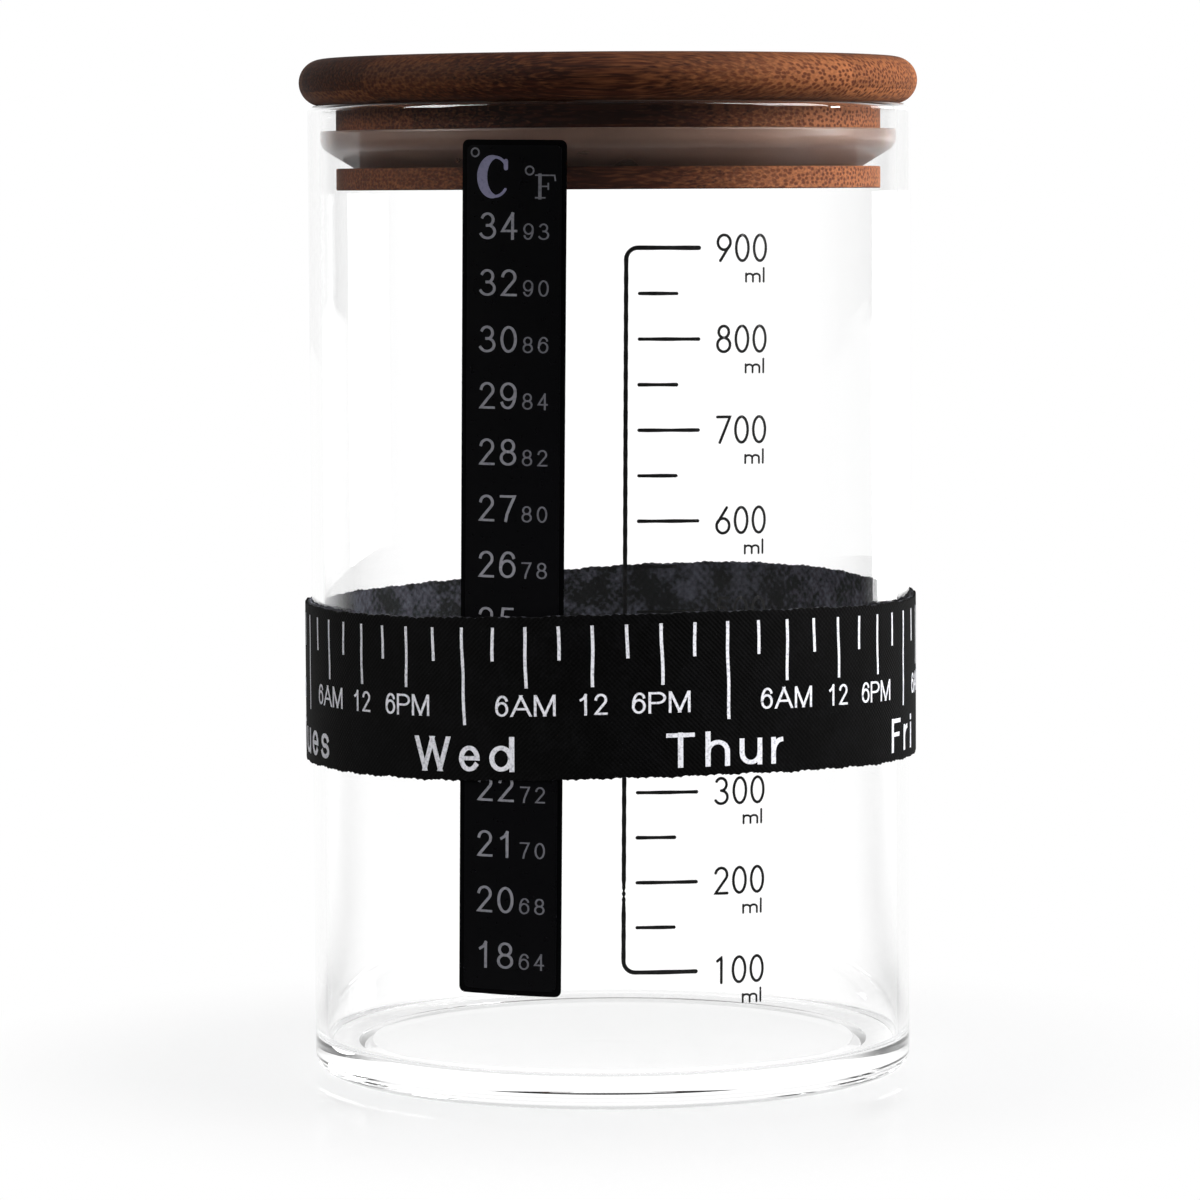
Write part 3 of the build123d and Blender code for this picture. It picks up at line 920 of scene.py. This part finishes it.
def table():
    """A glossy white table top, which runs into a white background.

    Near the jar it is a pale grey that the lamps bring up to white, so that it keeps the shadow.
    Further off, and where it is mirrored, it is as bright as the background, but beside the jar and
    before it a mirror shows the darker room. Through glass it is a fifth brighter, for what the
    glass's faces mirror away.
    """
    size = 4.0
    corners = np.array([[-size, -size, 0], [size, -size, 0], [size, size, 0], [-size, size, 0]])
    mesh = bpy.data.meshes.new("table_top")
    mesh.from_pydata(corners.tolist(), [], [[0, 1, 2, 3]])
    piece = bpy.data.objects.new("table_top", mesh)
    bpy.context.collection.objects.link(piece)
    material, tree, output = new_material("white_lacquered_table")
    place = add(tree, "ShaderNodeTexCoord").outputs["Object"]
    away = add(tree, "ShaderNodeVectorMath", {0: place}, operation="LENGTH").outputs["Value"]
    far = add(tree, "ShaderNodeMapRange", {
        "Value": away, "From Min": 0.045, "From Max": 0.11, "To Min": 0.72},
        interpolation_type="SMOOTHSTEP").outputs[0]
    toward = add(tree, "ShaderNodeVectorMath", {0: place}, operation="NORMALIZE").outputs[0]
    before = add(tree, "ShaderNodeMapRange", {
        "Value": add(tree, "ShaderNodeSeparateXYZ", {0: toward}).outputs[1],
        "From Min": 0.7, "From Max": 0.35}, interpolation_type="SMOOTHSTEP").outputs[0]
    clear_of_jar = add(tree, "ShaderNodeMapRange", {"Value": away, "From Min": 0.06, "From Max": 0.13},
                       interpolation_type="SMOOTHSTEP").outputs[0]
    before = reckon(tree, "MULTIPLY", before, clear_of_jar)
    path, mirrored, through = rays_to_setting(tree, 3.0)
    seen = reckon(tree, "MAXIMUM", path["Is Camera Ray"], mirrored)
    top = add(tree, "ShaderNodeBsdfPrincipled", {
        "Base Color": linear("#b8b8b9"), "Roughness": 0.1, "IOR": 1.45})
    bright = reckon(tree, "MULTIPLY_ADD", through, 0.2, 1.0)
    white = add(tree, "ShaderNodeEmission", {"Strength": bright})
    share = reckon(tree, "MULTIPLY", far, seen)
    share = reckon(tree, "MAXIMUM", share, through)
    both = add(tree, "ShaderNodeMixShader", {0: share, 1: top.outputs[0], 2: white.outputs[0]})
    dark = add(tree, "ShaderNodeEmission", {"Strength": 0.04})
    share = reckon(tree, "MULTIPLY", before, mirrored)
    both = add(tree, "ShaderNodeMixShader", {0: share, 1: both.outputs[0], 2: dark.outputs[0]})
    tree.links.new(both.outputs[0], output.inputs["Surface"])
    mesh.materials.append(material)


def room():
    """A white room: full white to the eye, softer as light, and dark towards the photographer in mirrors.

    Through glass it is a fifth brighter than white, for what the glass's faces mirror away.
    """
    world = bpy.data.worlds.new("white_room")
    bpy.context.scene.world = world
    world.use_nodes = True
    tree = world.node_tree
    tree.nodes.clear()
    path, mirrored, through = rays_to_setting(tree, 4.0)
    direction = add(tree, "ShaderNodeTexCoord").outputs["Generated"]
    toward = add(tree, "ShaderNodeSeparateXYZ", {0: direction}).outputs[1]
    bright = add(tree, "ShaderNodeMapRange", {
        "Value": toward, "From Min": 0.58, "From Max": 0.86, "To Min": 0.04, "To Max": 1.0},
        interpolation_type="SMOOTHSTEP").outputs[0]
    light = add(tree, "ShaderNodeMix", {0: mirrored, 2: 0.2, 3: bright}).outputs[0]
    light = add(tree, "ShaderNodeMix", {0: through, 2: light, 3: 1.2}).outputs[0]
    light = add(tree, "ShaderNodeMix", {0: path["Is Camera Ray"], 2: light, 3: 1.0}).outputs[0]
    background = add(tree, "ShaderNodeBackground", {"Color": (1, 1, 1, 1), "Strength": light})
    output = add(tree, "ShaderNodeOutputWorld")
    tree.links.new(background.outputs[0], output.inputs[0])


def softbox(name, place, size, power, lights="all"):
    """A soft lamp of this width and height, which faces the middle of the lid.

    One for matt surfaces isn't mirrored, and one for mirrors lights nothing else.
    """
    lamp = bpy.data.lights.new(name, "AREA")
    lamp.shape, lamp.size, lamp.size_y, lamp.energy = "RECTANGLE", size[0], size[1], power
    holder = bpy.data.objects.new(name, lamp)
    bpy.context.collection.objects.link(holder)
    holder.location = place
    holder.rotation_euler = (Vector((0, 0, 0.11)) - Vector(place)).to_track_quat("-Z", "Y").to_euler()
    holder.visible_glossy = holder.visible_transmission = lights != "matt surfaces"
    holder.visible_diffuse = lights != "mirrors"


def snooted_lamp(name, place, aim, angle, power, mirrored):
    """A narrow beam from a small lamp, which rough and smooth surfaces mirror or don't."""
    lamp = bpy.data.lights.new(name, "SPOT")
    lamp.spot_size, lamp.spot_blend = math.radians(angle), 0.7
    lamp.shadow_soft_size, lamp.energy = 0.05, power
    holder = bpy.data.objects.new(name, lamp)
    bpy.context.collection.objects.link(holder)
    holder.location = place
    holder.rotation_euler = (Vector(aim) - Vector(place)).to_track_quat("-Z", "Y").to_euler()
    holder.visible_glossy = holder.visible_transmission = mirrored


def lamps():
    """Softboxes high at the sides, whose streaks lie on the rim, and one behind.

    One narrow beam lights the lid's right, and another the band's print.
    """
    softbox("right_high_softbox", (0.62, -0.12, 0.68), (0.45, 0.7), 12.0)
    softbox("left_high_softbox", (-0.62, -0.02, 0.68), (0.35, 0.3), 0.4, "matt surfaces")
    softbox("left_rim_softbox", (-0.66, -0.18, 0.6), (0.3, 0.5), 7.0, "mirrors")
    softbox("low_back_softbox", (0.6, 0.52, 0.07), (0.28, 0.12), 0.4)
    snooted_lamp("right_lid_lamp", (0.8, 0.07, 0.24), (0.03, 0.0, 0.128), 9.0, 31.0, True)
    snooted_lamp("front_band_lamp", (0.0, -0.9, 0.4), (-0.01, -0.045, 0.06), 7.5, 18.0, False)


def camera():
    """A long lens, level with the seal, tipped down so that the jar stands in the middle."""
    distance, height = 0.8, 130.5 * MM
    pixels_per_metre, picture = 6720.0, 1200
    focal = pixels_per_metre * distance
    horizon, middle, axis = 190.6, 600, 610.5
    data = bpy.data.cameras.new("camera")
    data.sensor_width, data.lens = 36.0, 36.0 * focal / picture
    data.clip_start, data.clip_end = 0.05, 20
    holder = bpy.data.objects.new("camera", data)
    bpy.context.collection.objects.link(holder)
    tip = math.atan((middle - horizon) / focal)
    turn = math.atan((axis - middle) / focal)
    roll = math.radians(0.3)
    holder.location = (0, -distance, height)
    look = Matrix.Rotation(turn, 4, "Z") @ Matrix.Rotation(math.pi / 2 - tip, 4, "X")
    look = look @ Matrix.Rotation(-roll, 4, "Z")
    holder.rotation_euler = look.to_euler()
    bpy.context.scene.camera = holder


bpy.context.scene.view_settings.view_transform = "Standard"
glass_jar()
lid()
seal()
strip()
volume_scale()
band()
table()
room()
lamps()
camera()
